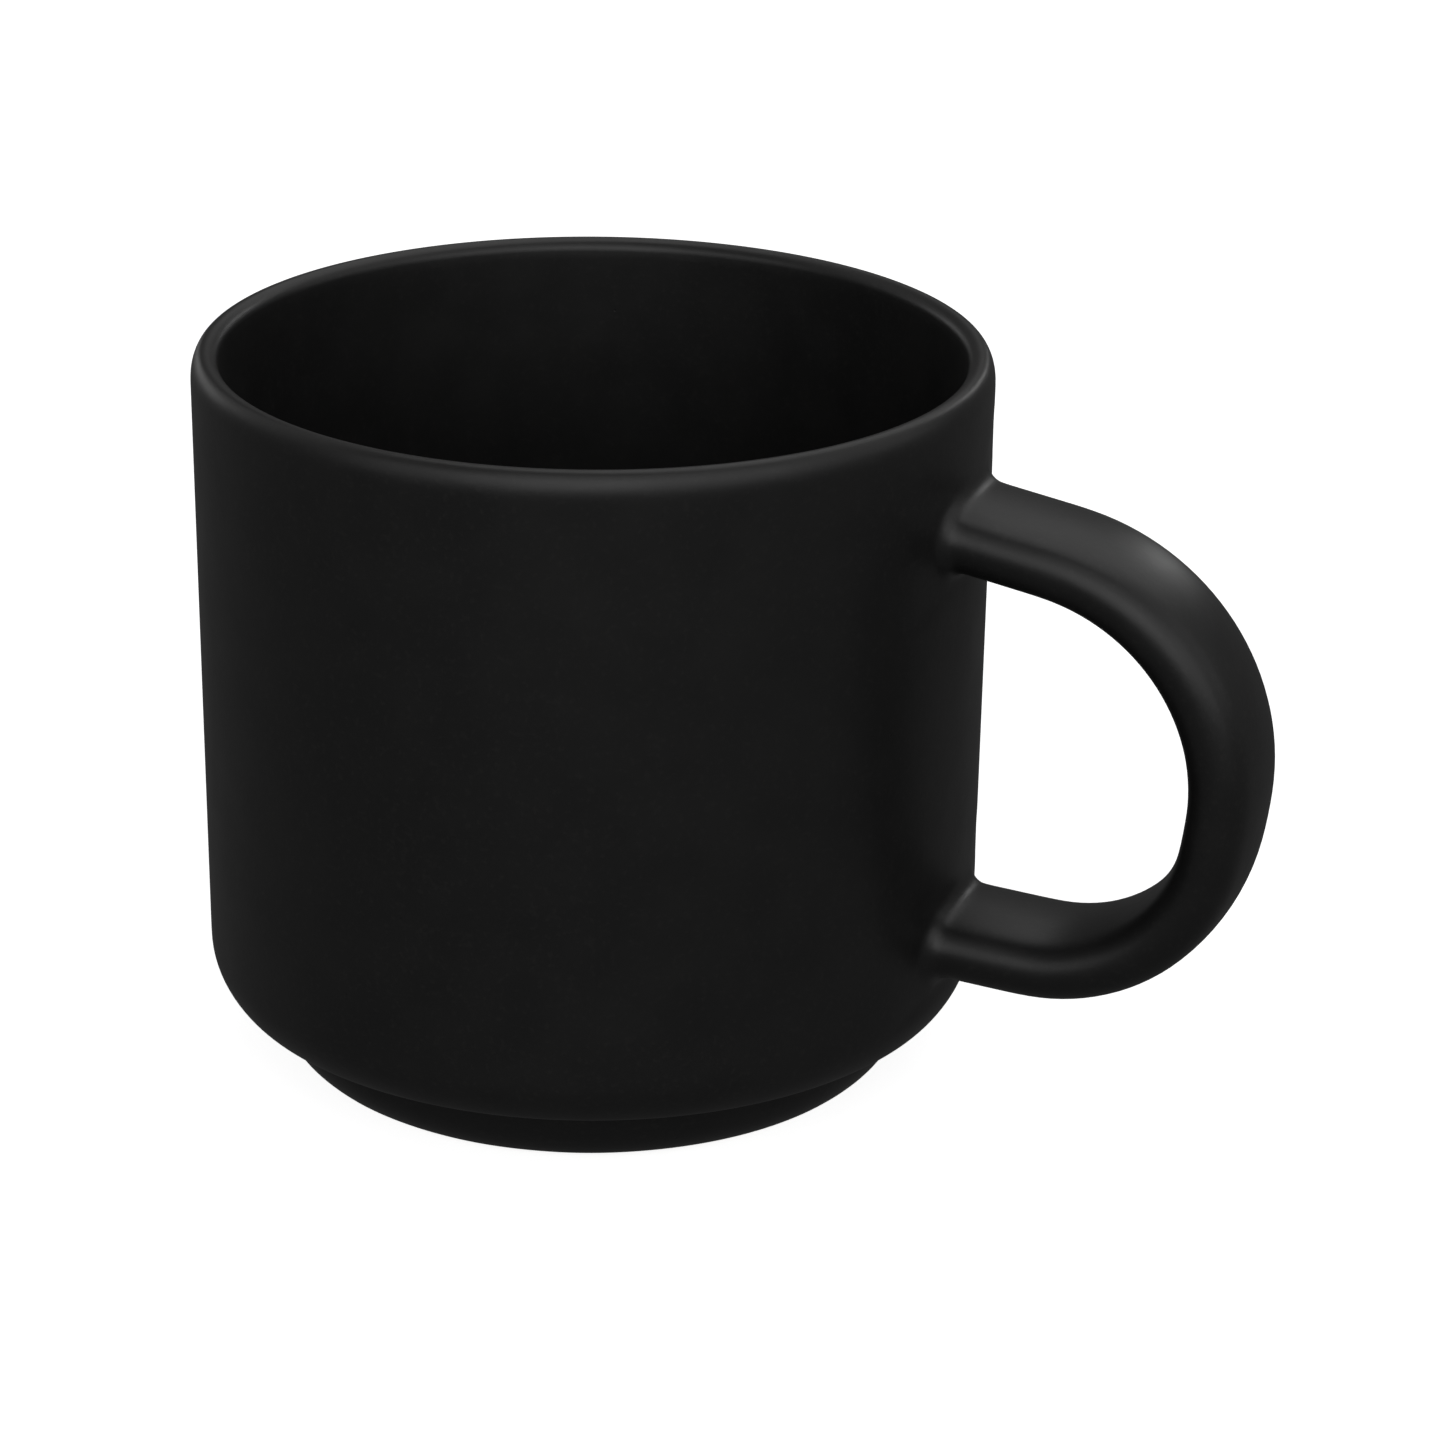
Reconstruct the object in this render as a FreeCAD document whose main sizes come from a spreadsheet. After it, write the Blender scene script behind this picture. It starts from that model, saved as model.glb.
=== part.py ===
"""A one-handled stacking mug in glazed stoneware, built the way a potter builds it.

The cup and the handle are cast apart and joined with slip, which leaves a film and a smoothed cove at each
end of the handle. The joined mug is dipped in glaze, and the foot ring is wiped clean before firing.

Millimetres, +Z up. The origin is on the cup's axis, in the plane that the foot ring stands on. The handle
points along +X.
"""

import FreeCAD, Part

import math
import os

import Sketcher

# Driving dimensions of the fired clay. The glaze adds its own thickness on top.
SIZES = {
    # cup
    "cup_height": 85.7,
    "rim_radius": 45.7,
    "wall_draft": 0.25,  # how much narrower the wall is at its foot than at the rim
    "rim_wall": 2.6,
    "base_wall": 3.4,
    "shoulder_height": 9.3,  # the step's underside
    "corner_rise": 4.7,  # from the step's underside up to the straight wall
    "corner_radius": 7.1,
    "shoulder_edge": 0.4,
    "floor_rise": 0.7,  # the floor's top above the step's underside
    "floor_thickness": 4.5,
    "floor_corner": 10.0,
    # foot
    "stacking_clearance": 5.36,  # between the foot and the rim of the mug that it drops into
    "foot_round": 5.0,
    "foot_cove": 1.2,
    "ring_flat": 2.24,  # the width that the mug stands on
    "ring_edge": 1.0,
    "recess_corner": 2.0,
    # handle, measured on the centre line of its strap
    "upper_gap": 7.5,  # from the lip's rounding down to the upper cove
    "lower_gap": 0.9,  # from the lower corner up to the lower cove
    "stand_off": 31.9,  # from the rim's radius out to the furthest point
    "upper_bend": 25.2,
    "lower_bend": 20.3,
    "grip_room": 4.0,  # kept free for the grip between the bends
    "upper_slope": 9.3,
    "grip_slope": 7.2,
    "lower_slope": 3.0,
    "strap_width": 17.3,
    "strap_thickness": 7.4,
    "strap_crown": 0.5,  # how much thinner than half the strap its rounded edges are
    # what joins and covers the clay
    "slip_film": 0.4,
    "joint_cove": 2.2,
    "glaze": 0.3,
    "glaze_line": 0.6,
}

SHEET = "Sizes"
HORIZONTAL, VERTICAL = -1, -2  # the sketcher's numbers for a sketch's own axes
START, END, CENTRE = 1, 2, 3  # and for the points of an edge
EXTRA = 5.0  # how far a cutting tool runs past what it cuts
ROOT_DEPTH = 0.75  # how far through the rim's wall the handle's route starts
NEAR = 0.05  # how near a sampled point is to the surface it belongs to


class Measure:
    """A length or an angle: its value now, and the expression that gives it in the document."""

    def __init__(self, value, text):
        self.value = value
        self.text = text

    def _with(self, other, sign, value):
        text = other.text if isinstance(other, Measure) else repr(float(other))
        return Measure(value, f"({self.text} {sign} {text})")

    def __add__(self, other):
        return self._with(other, "+", self.value + number(other))

    def __sub__(self, other):
        return self._with(other, "-", self.value - number(other))

    def __mul__(self, other):
        return self._with(other, "*", self.value * number(other))

    def __truediv__(self, other):
        return self._with(other, "/", self.value / number(other))


def square_root(measure):
    """The square root of a measure."""
    return Measure(math.sqrt(measure.value), f"sqrt({measure.text})")


def number(measure):
    """The plain value of a measure or of a number."""
    return measure.value if isinstance(measure, Measure) else float(measure)


def smaller(first, second):
    """The smaller of two measures."""
    return Measure(min(first.value, second.value), f"min({first.text}; {second.text})")


def make_sheet(doc):
    """Write the driving dimensions to the spreadsheet and return a measure for each."""
    sheet = doc.addObject("Spreadsheet::Sheet", SHEET)
    for row, (alias, value) in enumerate(SIZES.items(), start=1):
        sheet.set(f"A{row}", alias)
        sheet.set(f"B{row}", str(value))
        sheet.setAlias(f"B{row}", alias)
    doc.recompute()
    return {alias: Measure(value, f"{SHEET}.{alias}") for alias, value in SIZES.items()}


def tie_sizes(size):
    """Add the sizes that follow from the driving ones, so that what fits together stays together."""
    size["base_radius"] = size["rim_radius"] - size["wall_draft"]
    size["corner_height"] = size["shoulder_height"] + size["corner_rise"]
    size["floor_height"] = size["shoulder_height"] + size["floor_rise"]
    size["recess_depth"] = size["floor_height"] - size["floor_thickness"]
    size["foot_radius"] = size["rim_radius"] - size["rim_wall"] - size["stacking_clearance"]
    size["ring_outer"] = size["foot_radius"] - size["foot_round"]
    size["ring_radius"] = size["ring_outer"] - size["ring_flat"] - size["ring_edge"]
    size["lip_radius"] = size["rim_wall"] / 2
    size["lip_height"] = size["cup_height"] - size["lip_radius"]
    joint_half = size["strap_thickness"] / 2 + size["joint_cove"]
    size["upper_height"] = size["lip_height"] - size["upper_gap"] - joint_half
    size["lower_height"] = size["corner_height"] + size["lower_gap"] + joint_half
    size["handle_reach"] = size["rim_radius"] + size["stand_off"]
    size["handle_root"] = size["rim_radius"] - size["rim_wall"] * ROOT_DEPTH
    # a low cup has less room between the arms, so its bends are drawn in together
    room = size["upper_height"] - size["lower_height"]
    fit = smaller(room / (size["upper_bend"] + size["lower_bend"] + size["grip_room"]), Measure(1.0, "1"))
    size["upper_turn"] = size["upper_bend"] * fit
    size["lower_turn"] = size["lower_bend"] * fit


def make_body(doc, label):
    """Add an empty body."""
    body = doc.addObject("PartDesign::Body", label)
    body.Label = label
    body.Placement = FreeCAD.Placement()
    return body


def make_sketch(body, label, plane):
    """Add a sketch on one of the body's own origin planes."""
    sketch = body.newObject("Sketcher::SketchObject", label)
    support = next(item for item in body.Origin.OriginFeatures if item.Role == plane)
    sketch.AttachmentSupport = (support, "")
    sketch.MapMode = "FlatFace"
    return sketch


def bind(sketch, kind, *where, size):
    """Add a dimension to a sketch and bind it to the sheet."""
    value = math.radians(size.value) if kind == "Angle" else size.value
    index = sketch.addConstraint(Sketcher.Constraint(kind, *where, value))
    sketch.setExpression(f"Constraints[{index}]", size.text)


def place(sketch, edge, point, x, y):
    """Fix one point of an edge. A zero puts it on the sketch's axis, and a plain number is only a first guess."""
    for size, kind, axis in ((x, "DistanceX", VERTICAL), (y, "DistanceY", HORIZONTAL)):
        if isinstance(size, Measure):
            bind(sketch, kind, HORIZONTAL, START, edge, point, size=size)
        elif size == 0:
            sketch.addConstraint(Sketcher.Constraint("PointOnObject", edge, point, axis))


def arc_between(start, end, radius, side):
    """An arc from start to end that bulges to the right of the way there if side is 1, to its left if -1."""
    chord = end - start
    half = chord.Length / 2
    across = FreeCAD.Vector(chord.y, -chord.x, 0).normalize() * side
    centre = (start + end) / 2 - across * math.sqrt(max(radius**2 - half**2, 0))
    return Part.Arc(start, centre + across * radius, end)


def outline_ends(sketch, edge, start):
    """Which of an edge's points begins it on the way round the outline, and which ends it."""
    forward = sketch.getPoint(edge, START).distanceToPoint(start) < NEAR
    return (START, END) if forward else (END, START)


def draw_outline(sketch, corners):
    """Draw a closed outline. Each corner is (x, y, radius, side, smooth). The radius and the side belong to the
    edge that leads on from the corner, and are None for a straight one. At a smooth corner the edges are tangent."""
    points = [FreeCAD.Vector(number(x), number(y), 0) for x, y, *_ in corners]
    for index, (_, _, radius, side, _) in enumerate(corners):
        start, end = points[index], points[(index + 1) % len(points)]
        edge = Part.LineSegment(start, end) if radius is None else arc_between(start, end, radius.value, side)
        sketch.addGeometry(edge)
    ends = [outline_ends(sketch, index, start) for index, start in enumerate(points)]
    for index, (x, y, radius, _, smooth) in enumerate(corners):
        before = (index - 1) % len(corners)
        kind = "Tangent" if smooth else "Coincident"
        sketch.addConstraint(Sketcher.Constraint(kind, before, ends[before][1], index, ends[index][0]))
        place(sketch, index, ends[index][0], x, y)
        if radius is not None:
            bind(sketch, "Radius", index, size=radius)


def cup_outline(size, skin):
    """Half the cup's section, from the axis under the floor, round the foot, the wall and the lip, to the axis.

    skin is how far the whole outline stands outside the clay.
    """
    foot = size["foot_radius"] + skin
    shoulder = size["shoulder_height"] - skin
    corner = size["corner_radius"] + skin
    drop = size["corner_height"] - shoulder
    shoulder_rim = size["base_radius"] - size["corner_radius"] + square_root(corner * corner - drop * drop)
    lip = size["lip_radius"] + skin
    inner_base = size["base_radius"] - size["base_wall"] - skin
    inner_corner = size["floor_corner"] - skin
    floor = size["floor_height"] + skin
    return [
        (0, size["recess_depth"] - skin, None, None, False),
        (size["ring_radius"] - skin, size["recess_depth"] - skin, None, None, False),
        (size["ring_radius"] - skin, skin * -1, None, None, False),
        (size["ring_outer"], skin * -1, size["foot_round"] + skin, 1, False),
        (foot, size["foot_round"], None, None, False),
        (foot, shoulder, None, None, False),
        (shoulder_rim, shoulder, corner, 1, False),
        (size["base_radius"] + skin, size["corner_height"], None, None, False),
        (size["rim_radius"] + skin, size["lip_height"], lip, 1, False),
        (size["rim_radius"] - size["lip_radius"], size["cup_height"] + skin, lip, 1, False),
        (size["rim_radius"] - size["rim_wall"] - skin, size["lip_height"], None, None, False),
        (inner_base, floor.value + inner_corner.value, inner_corner, -1, True),
        (inner_base.value - inner_corner.value, floor, None, None, True),
        (0, floor, None, None, False),
    ]


def heading(angle):
    """The unit vector at an angle in radians."""
    return FreeCAD.Vector(math.cos(angle), math.sin(angle), 0)


def turn(before, after):
    """How far a clockwise bend of unit radius carries a route from one heading to another."""
    return FreeCAD.Vector(math.sin(before) - math.sin(after), math.cos(after) - math.cos(before), 0)


def circles_at(shape, radius, height):
    """The names of the shape's level circles about the axis with this radius and height."""
    names = []
    for index, edge in enumerate(shape.Edges, start=1):
        point = edge.valueAt(edge.FirstParameter)
        level = abs(edge.BoundBox.ZLength) < NEAR and abs(point.z - height.value) < NEAR
        if level and abs(math.hypot(point.x, point.y) - radius.value) < NEAR:
            names.append(f"Edge{index}")
    return names


def turn_cup(body, size, skin):
    """Turn the cup, standing skin outside the clay, as the first features of a body."""
    name = body.Label
    sketch = make_sketch(body, f"{name}_section", "YZ_Plane")
    outline = cup_outline(size, skin)
    draw_outline(sketch, outline)
    turning = body.newObject("PartDesign::Revolution", f"{name}_turning")
    turning.Profile = sketch
    turning.ReferenceAxis = (sketch, ["V_Axis"])
    turning.Angle = 360
    body.Document.recompute()
    # corner of the outline, and its rounding: a hollow one loses the skin, and an outside one gains it
    roundings = {
        "recess_corner": (outline[1], size["recess_corner"] - skin),
        "ring_edge": (outline[2], size["ring_edge"] + skin),
        "foot_cove": (outline[5], size["foot_cove"] - skin),
        "shoulder_edge": (outline[6], size["shoulder_edge"] + skin),
    }
    for label, ((radius, height, *_), blend) in roundings.items():
        fillet = body.newObject("PartDesign::Fillet", f"{name}_{label}")
        fillet.Base = (turning, circles_at(turning.Shape, radius, height))
        fillet.setExpression("Radius", blend.text)
        body.Document.recompute()
        turning = fillet


def route_headings(size):
    """The headings of the upper arm, the grip and the lower arm, in degrees, going out and round clockwise."""
    return size["upper_slope"] * -1, size["grip_slope"] * -1 - 90, size["lower_slope"] * -1 + 180


def route_corners(size):
    """Where the handle's route changes between straight and bent, as a first guess for the sketch."""
    upper, grip, lower = (math.radians(angle.value) for angle in route_headings(size))
    root = size["handle_root"].value
    upper_bend = size["upper_turn"].value
    lower_bend = size["lower_turn"].value
    centre_x = size["handle_reach"].value - upper_bend
    arm = (centre_x - upper_bend * math.sin(upper) - root) / math.cos(upper)
    first = FreeCAD.Vector(root, size["upper_height"].value, 0)
    second = first + heading(upper) * arm
    third = second + turn(upper, grip) * upper_bend
    fifth = FreeCAD.Vector(root, size["lower_height"].value, 0)
    gap = fifth - third - turn(grip, lower) * lower_bend
    # the two straight runs that are left close the gap between them
    run, back = heading(grip), heading(lower)
    spread = run.x * back.y - run.y * back.x
    grip_length = (gap.x * back.y - gap.y * back.x) / spread
    fourth = third + run * grip_length
    return [first, second, third, fourth, fourth + turn(grip, lower) * lower_bend, fifth]


def draw_route(body, size):
    """Draw the handle's centre line: the upper arm, a bend, the grip, a bend, and the lower arm back to the cup."""
    sketch = make_sketch(body, f"{body.Label}_route", "XZ_Plane")
    points = route_corners(size)
    bends = {1: size["upper_turn"], 3: size["lower_turn"]}
    for index, (start, end) in enumerate(zip(points, points[1:])):
        bend = bends.get(index)
        sketch.addGeometry(arc_between(start, end, bend.value, -1) if bend else Part.LineSegment(start, end))
    ends = [outline_ends(sketch, index, start) for index, start in enumerate(points[:-1])]
    for index in range(1, len(ends)):
        sketch.addConstraint(
            Sketcher.Constraint("Tangent", index - 1, ends[index - 1][1], index, ends[index][0])
        )
    last = len(ends) - 1
    place(sketch, 0, START, size["handle_root"], size["upper_height"])
    place(sketch, last, END, size["handle_root"], size["lower_height"])
    for index, bend in bends.items():
        bind(sketch, "Radius", index, size=bend)
    for index, angle in zip((0, 2, last), route_headings(size)):
        bind(sketch, "Angle", index, size=angle)
    bind(sketch, "DistanceX", HORIZONTAL, START, 1, CENTRE, size=size["handle_reach"] - size["upper_turn"])
    return sketch


def draw_strap(body, size, skin):
    """Draw the strap's section where the route starts: two crowned faces between two rounded edges."""
    sketch = make_sketch(body, f"{body.Label}_strap", "YZ_Plane")
    half = size["strap_thickness"] / 2
    edge = half - size["strap_crown"]
    reach = size["strap_width"] / 2 - edge
    face = (reach * reach + half * half - edge * edge) / ((half - edge) * 2)
    x = reach * (face + skin) / (face - edge)
    y = (edge + skin) * (face - half) / (face - edge)
    left, down = x * -1, y * -1
    draw_outline(
        sketch,
        [
            (x, y, face + skin, 1, False),
            (left, y, edge + skin, 1, False),
            (left, down, face + skin, 1, False),
            (x, down, edge + skin, 1, False),
        ],
    )
    root = size["handle_root"]
    slope = size["upper_slope"]
    across = FreeCAD.Vector(1, 0, 0)
    base = FreeCAD.Vector(0, size["upper_height"].value, root.value)
    sketch.AttachmentOffset = FreeCAD.Placement(base, FreeCAD.Rotation(across, slope.value))
    sketch.setExpression("AttachmentOffset.Base.y", size["upper_height"].text)
    sketch.setExpression("AttachmentOffset.Base.z", root.text)
    sketch.setExpression("AttachmentOffset.Rotation.Angle", slope.text)
    return sketch


def bend_strap(body, size, skin):
    """Sweep the strap along its route, standing skin outside the clay."""
    route = draw_route(body, size)
    strap = draw_strap(body, size, skin)
    body.Document.recompute()
    sweep = body.newObject("PartDesign::AdditivePipe", f"{body.Label}_sweep")
    sweep.Profile = strap
    sweep.Spine = (route, [f"Edge{number}" for number in range(1, route.GeometryCount + 1)])
    body.Document.recompute()
    return sweep


def joint_edges(shape, size, skin):
    """The names of the edges where the handle meets the cup's outside."""
    low, high = size["corner_height"].value, size["lip_height"].value
    bottom, top = (size["base_radius"] + skin).value, (size["rim_radius"] + skin).value
    names = []
    for index, edge in enumerate(shape.Edges, start=1):
        points = edge.discretize(5)
        walls = [bottom + (top - bottom) * (point.z - low) / (high - low) for point in points]
        on_wall = all(abs(math.hypot(p.x, p.y) - wall) < NEAR for p, wall in zip(points, walls))
        in_reach = all(abs(p.y) < (size["strap_width"] / 2 + skin).value + NEAR and p.x > 0 for p in points)
        if on_wall and in_reach:
            names.append(f"Edge{index}")
    return names


def join_handle(body, size, skin):
    """Sweep the handle on to the turned cup and smooth a cove round each joint, standing skin outside the clay."""
    sweep = bend_strap(body, size, skin)
    coves = body.newObject("PartDesign::Fillet", f"{body.Label}_coves")
    coves.Base = (sweep, joint_edges(sweep.Shape, size, skin))
    coves.setExpression("Radius", (size["joint_cove"] - skin).text)
    body.Document.recompute()


def make_box(doc, label, corner, sides):
    """Add a box from its lowest corner and its three sides."""
    box = doc.addObject("Part::Box", label)
    box.Label = label
    for side, measure in zip(("Length", "Width", "Height"), sides):
        box.setExpression(side, measure.text)
    for axis, measure in zip("xyz", corner):
        box.setExpression(f"Placement.Base.{axis}", measure.text)
    return box


def combine(doc, kind, label, base, tool):
    """Add a Cut or a Common of two objects."""
    result = doc.addObject(f"Part::{kind}", label)
    result.Label = label
    result.Base = base
    result.Tool = tool
    doc.recompute()
    return result


def shape_wall(cone, size):
    """Give a cone the size and place of the cup's straight wall, filled in, with its seam away from the handle."""
    cone.setExpression("Radius1", size["base_radius"].text)
    cone.setExpression("Radius2", size["rim_radius"].text)
    cone.setExpression("Height", (size["lip_height"] - size["corner_height"]).text)
    cone.Placement = FreeCAD.Placement(FreeCAD.Vector(), FreeCAD.Rotation(FreeCAD.Vector(0, 0, 1), 90))
    cone.setExpression("Placement.Base.z", size["corner_height"].text)
    cone.Document.recompute()


def make_slip(doc, size, bare, handle):
    """The slip at both ends of the handle: the coves and the film between the handle and the cup's wall."""
    coved = make_body(doc, "coved_handle")
    shape_wall(coved.newObject("PartDesign::AdditiveCone", "coved_handle_wall"), size)
    join_handle(coved, size, bare)
    wall = doc.addObject("Part::Cone", "filled_wall")
    shape_wall(wall, size)
    added = combine(doc, "Cut", "added_to_cup", coved, wall)
    slip = combine(doc, "Cut", "joining_slip", added, handle)
    middle = (size["upper_height"] + size["lower_height"]) / 2
    side = size["strap_width"]
    upper_sides = (size["handle_reach"], side * 2, size["cup_height"] - middle)
    lower_sides = (size["handle_reach"], side * 2, middle)
    upper_zone = make_box(doc, "upper_zone", (bare, side * -1, middle), upper_sides)
    lower_zone = make_box(doc, "lower_zone", (bare, side * -1, bare), lower_sides)
    upper = combine(doc, "Common", "upper_slip_joint", slip, upper_zone)
    lower = combine(doc, "Common", "lower_slip_joint", slip, lower_zone)
    return [upper, lower]


def make_clay(doc, size, bare):
    """The cup, the handle cut to its bed of slip, the slip, and all of them joined as one piece of clay."""
    cup = make_body(doc, "cup_body")
    turn_cup(cup, size, bare)
    blank = make_body(doc, "handle_blank")
    bend_strap(blank, size, bare)
    bed = make_body(doc, "joint_bed")
    turn_cup(bed, size, size["slip_film"])
    handle = combine(doc, "Cut", "handle", blank, bed)
    clay = make_body(doc, "joined_clay")
    turn_cup(clay, size, bare)
    join_handle(clay, size, bare)
    return clay, [cup, handle, *make_slip(doc, size, bare, handle)]


def make_glaze(doc, size, clay):
    """The glaze that the dip leaves all over the clay, wiped off the foot ring, in its two separate pieces."""
    dipped = make_body(doc, "dipped_mug")
    turn_cup(dipped, size, size["glaze"])
    join_handle(dipped, size, size["glaze"])
    layer = combine(doc, "Cut", "glaze_layer", dipped, clay)
    reach = size["rim_radius"] + EXTRA
    bottom = size["glaze_line"] * 0 - EXTRA
    sides = (reach * 2, reach * 2, size["glaze_line"] + EXTRA)
    wipe = make_box(doc, "foot_wipe", (reach * -1, reach * -1, bottom), sides)
    wiped = combine(doc, "Cut", "wiped_glaze", layer, wipe)
    recess = doc.addObject("Part::Cylinder", "recess_zone")
    recess.setExpression("Radius", ((size["ring_radius"] + size["foot_radius"]) / 2).text)
    recess.setExpression("Height", ((size["recess_depth"] + size["floor_height"]) / 2).text)
    coat = combine(doc, "Cut", "glaze_coat", wiped, recess)
    base = combine(doc, "Common", "base_glaze", wiped, recess)
    return [coat, base]


def check(doc, pieces):
    """Stop if any object of the document failed, or if a piece isn't a single sound solid."""
    for item in doc.Objects:
        if {"Invalid", "Error"} & set(item.State):
            raise RuntimeError(f"{item.Label}: {item.State}")
    for piece in pieces:
        shape = piece.Shape
        if shape.isNull() or not shape.isValid() or len(shape.Solids) != 1:
            raise RuntimeError(f"{piece.Label}: not one valid solid")


def main():
    """Build the document, check it, and write one file for each piece."""
    doc = FreeCAD.newDocument("stacking_mug")
    size = make_sheet(doc)
    tie_sizes(size)
    bare = Measure(0.0, "0")
    clay, pieces = make_clay(doc, size, bare)
    pieces += make_glaze(doc, size, clay)
    doc.recompute()
    check(doc, pieces)
    os.makedirs("parts", exist_ok=True)
    for piece in pieces:
        piece.Shape.exportStep(f"parts/{piece.Label}.step")
        print(f"{piece.Label}: {piece.Shape.Volume:.1f} cubic millimetres")


main()
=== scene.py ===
"""A glazed stoneware stacking mug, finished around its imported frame.

Lengths are metres in the frame's own axes: +Z up, the cup turned about Z, and the handle along +X.
"""

import logging
import math
from collections.abc import Callable, Iterable
from dataclasses import dataclass
from enum import Enum

import bmesh
import bpy
from mathutils import Matrix, Vector, noise


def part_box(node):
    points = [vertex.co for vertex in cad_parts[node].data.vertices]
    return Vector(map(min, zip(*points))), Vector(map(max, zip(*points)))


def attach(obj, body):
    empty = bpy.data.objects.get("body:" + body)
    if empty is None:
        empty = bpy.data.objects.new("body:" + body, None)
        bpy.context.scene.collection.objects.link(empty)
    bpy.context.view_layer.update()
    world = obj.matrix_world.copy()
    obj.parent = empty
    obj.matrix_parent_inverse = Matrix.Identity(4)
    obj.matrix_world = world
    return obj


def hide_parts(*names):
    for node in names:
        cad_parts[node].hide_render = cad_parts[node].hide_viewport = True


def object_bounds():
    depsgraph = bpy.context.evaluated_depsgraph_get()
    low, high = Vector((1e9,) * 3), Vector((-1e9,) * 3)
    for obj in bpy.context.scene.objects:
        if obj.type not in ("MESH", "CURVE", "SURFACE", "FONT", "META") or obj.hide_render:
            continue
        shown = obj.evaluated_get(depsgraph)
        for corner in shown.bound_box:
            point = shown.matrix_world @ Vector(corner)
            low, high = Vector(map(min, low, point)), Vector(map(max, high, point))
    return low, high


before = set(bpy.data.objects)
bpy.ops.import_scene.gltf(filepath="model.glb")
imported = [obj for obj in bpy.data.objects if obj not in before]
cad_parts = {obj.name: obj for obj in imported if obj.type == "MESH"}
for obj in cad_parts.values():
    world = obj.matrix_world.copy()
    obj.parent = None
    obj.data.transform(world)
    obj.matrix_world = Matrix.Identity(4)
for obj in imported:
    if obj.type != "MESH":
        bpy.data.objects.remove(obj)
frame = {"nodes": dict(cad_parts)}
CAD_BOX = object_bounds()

MM = 0.001
MERGE = 0.01 * MM  # how near two points are welded
COLUMNS = 96  # the columns of faces round the cup
CORNER_STEPS = 6  # the rows of faces round the corner above the foot
SLIDE_PASSES = 8  # how often a sliding vertex is corrected
WANDER_WAVES = 90  # the waves to a metre in a wiped edge
CLAY_STRAP_HALF = 3.7 * MM  # half the bare strap's thickness
CLAY_STRAP_CROWN = 0.5 * MM  # how much thinner its rounded edges are than that
WATTS_PER_RADIANCE = 4  # for each square metre of a soft light

Colour = tuple[float, float, float]

log = logging.getLogger("stacking_mug")


class Slot(Enum):
    """The record's material slots."""

    GLAZE = "black_glaze"
    CLAY = "stoneware"
    SLIP = "joining_slip"


# --------------------------------------------------------------------------- drawing and turning


class Pen:
    """Draws a section in the XZ plane with mesh operators, as straight runs, arcs and ovals."""

    def __init__(self, x: float, z: float, mesh: bmesh.types.BMesh | None = None) -> None:
        """Put the pen down.

        Args:
            x: Distance from the axis.
            z: Height.
            mesh: The mesh to draw in, or None for a new one.
        """
        self.mesh = mesh or bmesh.new()
        self.tip = bmesh.ops.create_vert(self.mesh, co=(x, 0, z))["vert"][0]

    def line_to(self, x: float, z: float, steps: int = 1) -> "Pen":
        """Draw a straight run.

        Args:
            x: Distance from the axis at its end.
            z: Height at its end.
            steps: How many edges it is cut into.

        Returns:
            The pen.
        """
        stride = (Vector((x, 0, z)) - self.tip.co) / steps
        for _ in range(steps):
            self.tip = bmesh.ops.extrude_vert_indiv(self.mesh, verts=[self.tip])["verts"][0]
            bmesh.ops.translate(self.mesh, verts=[self.tip], vec=stride)
        return self

    def arc(self, x: float, z: float, degrees: float, steps: int) -> "Pen":
        """Swing the pen round a centre.

        Args:
            x: The centre's distance from the axis.
            z: The centre's height.
            degrees: How far to swing, anticlockwise if positive, with X to the right and Z up.
            steps: How many edges the arc is cut into.

        Returns:
            The pen.
        """
        swung = bmesh.ops.spin(
            self.mesh,
            geom=[self.tip],
            cent=(x, 0, z),
            axis=(0, 1, 0),
            angle=-math.radians(degrees),
            steps=steps,
        )
        self.tip = next(item for item in swung["geom_last"] if isinstance(item, bmesh.types.BMVert))
        return self

    def oval(self, x: float, z: float, rise: float, steps: int) -> "Pen":
        """Draw a quarter of an upright oval, from its side to its top.

        Args:
            x: The centre's distance from the axis.
            z: The centre's height, which is the pen's own.
            rise: The height of the oval's top above its centre.
            steps: How many edges it is cut into.

        Returns:
            The pen.
        """
        known = set(self.mesh.verts)
        half_width = self.tip.co.x - x
        self.arc(x, z, 90, steps)
        drawn = [vert for vert in self.mesh.verts if vert not in known]
        stretch = (1, 1, rise / half_width)
        base = Matrix.Translation((0, 0, -z))
        bmesh.ops.scale(self.mesh, vec=stretch, space=base, verts=drawn)
        return self

    def round_at(self, x: float, z: float, radius: float, turn: float, steps: int = 3) -> "Pen":
        """Round one corner that has been drawn.

        Args:
            x: The corner's distance from the axis.
            z: The corner's height.
            radius: The rounding's radius.
            turn: How far the section turns there, in degrees.
            steps: How many edges the rounding has.

        Returns:
            The pen.
        """
        corner = min(self.mesh.verts, key=lambda vert: (vert.co - Vector((x, 0, z))).length)
        bmesh.ops.bevel(
            self.mesh,
            geom=[corner],
            offset=radius * math.tan(math.radians(turn) / 2),
            offset_type="OFFSET",
            segments=steps,
            profile=0.5,
            affect="VERTICES",
            material=-1,
        )
        return self


def turn_about_axis(mesh: bmesh.types.BMesh) -> None:
    """Turn a drawn section right round the cup's axis and close its seam and its poles.

    Args:
        mesh: The mesh that holds the section.
    """
    bmesh.ops.spin(
        mesh,
        geom=[*mesh.verts, *mesh.edges],
        cent=(0, 0, 0),
        axis=(0, 0, 1),
        angle=math.tau,
        steps=COLUMNS,
        use_merge=True,
    )
    bmesh.ops.remove_doubles(mesh, verts=mesh.verts, dist=MERGE)


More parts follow.
